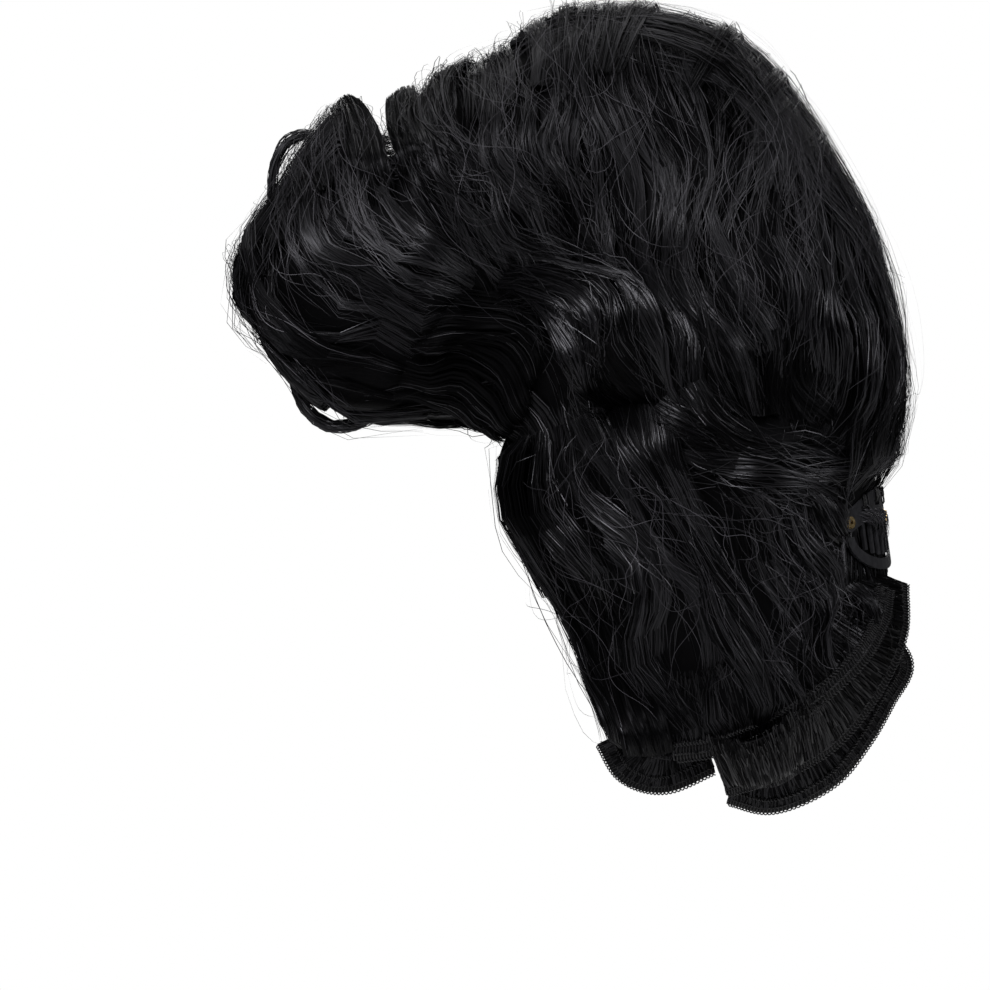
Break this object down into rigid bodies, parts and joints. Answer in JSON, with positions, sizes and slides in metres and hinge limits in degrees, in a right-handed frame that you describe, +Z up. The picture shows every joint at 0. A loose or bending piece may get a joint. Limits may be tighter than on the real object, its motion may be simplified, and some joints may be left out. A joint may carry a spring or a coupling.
{
  "type": "clip-in hair extension",
  "caption": "Bundle of wavy black synthetic hair wefts folded over, with stitched bands and a snap clip with a comb and opening bow.",
  "frame": {"origin": "on the underside of the arch, where a hand holds the folded bundle, at mid depth", "axes": "+X towards the right side with the snap clip, +Z up towards the crest, -Y towards the viewer"},
  "size_m": [0.1389, 0.0707, 0.1584],
  "materials": {
    "hair": "glossy black synthetic hair",
    "stitching": "matt overlock stitching",
    "clip_paint": "satin dark grey paint",
    "brass": "polished"
  },
  "bodies": {
    "bundle": {"lower_hair": "hair", "upper_hair": "hair", "lobe_hair": "hair", "front_locks": "hair", "weft_band_front": "stitching", "weft_band_second": "stitching", "weft_band_bottom": "stitching", "weft_band_left": "stitching", "inner_clip_left": "clip_paint", "inner_clip_bottom": "clip_paint", "clip_band": "stitching", "clip_plate": "clip_paint", "rivet_near": "brass", "rivet_far": "brass"},
    "bow": {"snap_bow": "clip_paint"}
  },
  "joints": [
    {"name": "clip_open", "type": "hinge", "parent": "bundle", "child": "bow", "pos_m": [0.0723, -0.00026, -0.01741], "axis": [-0.3341, -0.9414, -0.047], "range_deg": [0, 35]}
  ]
}
